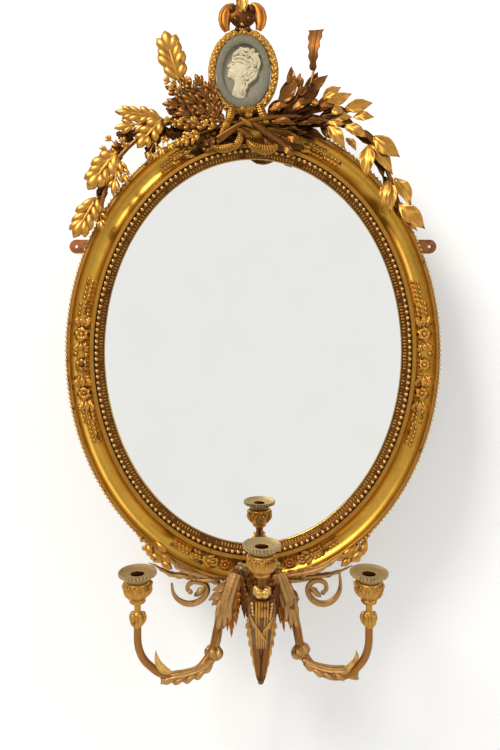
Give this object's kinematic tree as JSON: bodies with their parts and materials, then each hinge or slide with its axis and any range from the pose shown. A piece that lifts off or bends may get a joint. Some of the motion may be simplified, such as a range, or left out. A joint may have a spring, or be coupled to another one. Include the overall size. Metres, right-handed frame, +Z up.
{
  "type": "girandole mirror",
  "caption": "Oval wall mirror in a carved and gilt frame, with a crest of leafy sprays round an oval medallion and candle arms at its foot.",
  "frame": {"origin": "on the wall plane, halfway between the two hanging screws", "axes": "+X to the viewer's right, +Z up, and the front of the mirror faces -Y"},
  "size_m": [0.6876, 0.1725, 1.2501],
  "materials": {
    "gilt_carving": "carved wood and cast composition, water gilt over red bole, burnished on the high places",
    "worn_gilding": "old gilding rubbed through to the red-brown bole",
    "pale_gilding": "pale matt gilding with a chalky ground showing in the hollows",
    "gilt_metal": "matt gilt brass, dull with age",
    "mirror": "silvered plate glass, polished, with a faint warm cast",
    "plaque": "matt grey-olive ground with fine speckles",
    "relief": "matt cream relief with dirt in the hollows",
    "back_wood": "planed softwood, dusty and unvarnished",
    "block_wood": "sawn softwood toned with ochre wash",
    "plate_copper": "copper-brown patina",
    "button_brass": "dull brass",
    "iron": "dark wrought iron with a light rust bloom",
    "screw_steel": "dark iron screws"
  },
  "bodies": {
    "girandole": {"frame_moulding": "gilt_carving", "inner_bead_strip": "gilt_carving", "outer_bead_strip": "gilt_carving", "mirror_plate": "mirror", "backboard": "back_wood", "turn_button_screws": "screw_steel", "plate_screws": "screw_steel", "crest_block": "block_wood", "base_block": "block_wood", "medallion_frame": "gilt_carving", "medallion_plaque": "plaque", "cameo_relief": "relief", "finial_bow": "gilt_carving", "finial_knot": "gilt_carving", "ribbon_bow": "gilt_carving", "oak_stem": "gilt_carving", "laurel_stem": "gilt_carving", "bracket_body": "worn_gilding", "bracket_collar": "worn_gilding", "bracket_leaves": "worn_gilding", "bracket_pearls": "gilt_carving", "left_side_ornament": "gilt_carving", "right_side_ornament": "gilt_carving", "base_ornaments": "gilt_carving", "top_ornaments": "gilt_carving", "left_hanging_plate": "plate_copper", "right_hanging_plate": "plate_copper", "crest_strap": "iron", "base_strap": "iron", "oak_leaves_top": "gilt_carving", "oak_leaves_inner": "worn_gilding", "oak_leaves_outer": "gilt_carving", "oak_leaves_lower": "gilt_carving", "laurel_leaves_top": "gilt_carving", "laurel_leaves_inner": "worn_gilding", "laurel_leaves_outer": "gilt_carving", "laurel_leaves_lower": "gilt_carving", "left_cup": "pale_gilding", "right_cup": "pale_gilding", "centre_cup": "pale_gilding", "left_cup_knop": "pale_gilding", "right_cup_knop": "pale_gilding", "left_arm_rod": "gilt_metal", "right_arm_rod": "gilt_metal", "left_arm_sheath": "pale_gilding", "left_arm_knop": "pale_gilding", "left_arm_calyx": "pale_gilding", "right_arm_sheath": "pale_gilding", "right_arm_knop": "pale_gilding", "right_arm_calyx": "pale_gilding", "left_base_scroll": "gilt_carving", "right_base_scroll": "gilt_carving"},
    "left_pan": {"left_drip_pan": "gilt_metal"},
    "right_pan": {"right_drip_pan": "gilt_metal"},
    "centre_pan": {"centre_drip_pan": "gilt_metal"},
    "top_button": {"turn_button_top": "button_brass"},
    "bottom_button": {"turn_button_bottom": "button_brass"},
    "left_button": {"turn_button_left": "button_brass"},
    "right_button": {"turn_button_right": "button_brass"}
  },
  "joints": [
    {"name": "left_pan_lift", "type": "slide", "parent": "girandole", "child": "left_pan", "axis": [0, 0, 1], "range_m": [0, 0.03]},
    {"name": "right_pan_lift", "type": "slide", "parent": "girandole", "child": "right_pan", "axis": [0, 0, 1], "range_m": [0, 0.03]},
    {"name": "centre_pan_lift", "type": "slide", "parent": "girandole", "child": "centre_pan", "axis": [0, 0, 1], "range_m": [0, 0.03]},
    {"name": "top_button_turn", "type": "hinge", "parent": "girandole", "child": "top_button", "pos_m": [0, -0.0035, 0.184], "axis": [0, 1, 0], "range_deg": [-90, 90]},
    {"name": "bottom_button_turn", "type": "hinge", "parent": "girandole", "child": "bottom_button", "pos_m": [0, -0.0035, -0.576], "axis": [0, 1, 0], "range_deg": [-90, 90]},
    {"name": "left_button_turn", "type": "hinge", "parent": "girandole", "child": "left_button", "pos_m": [-0.299, -0.0035, -0.196], "axis": [0, 1, 0], "range_deg": [-90, 90]},
    {"name": "right_button_turn", "type": "hinge", "parent": "girandole", "child": "right_button", "pos_m": [0.299, -0.0035, -0.196], "axis": [0, 1, 0], "range_deg": [-90, 90]}
  ]
}
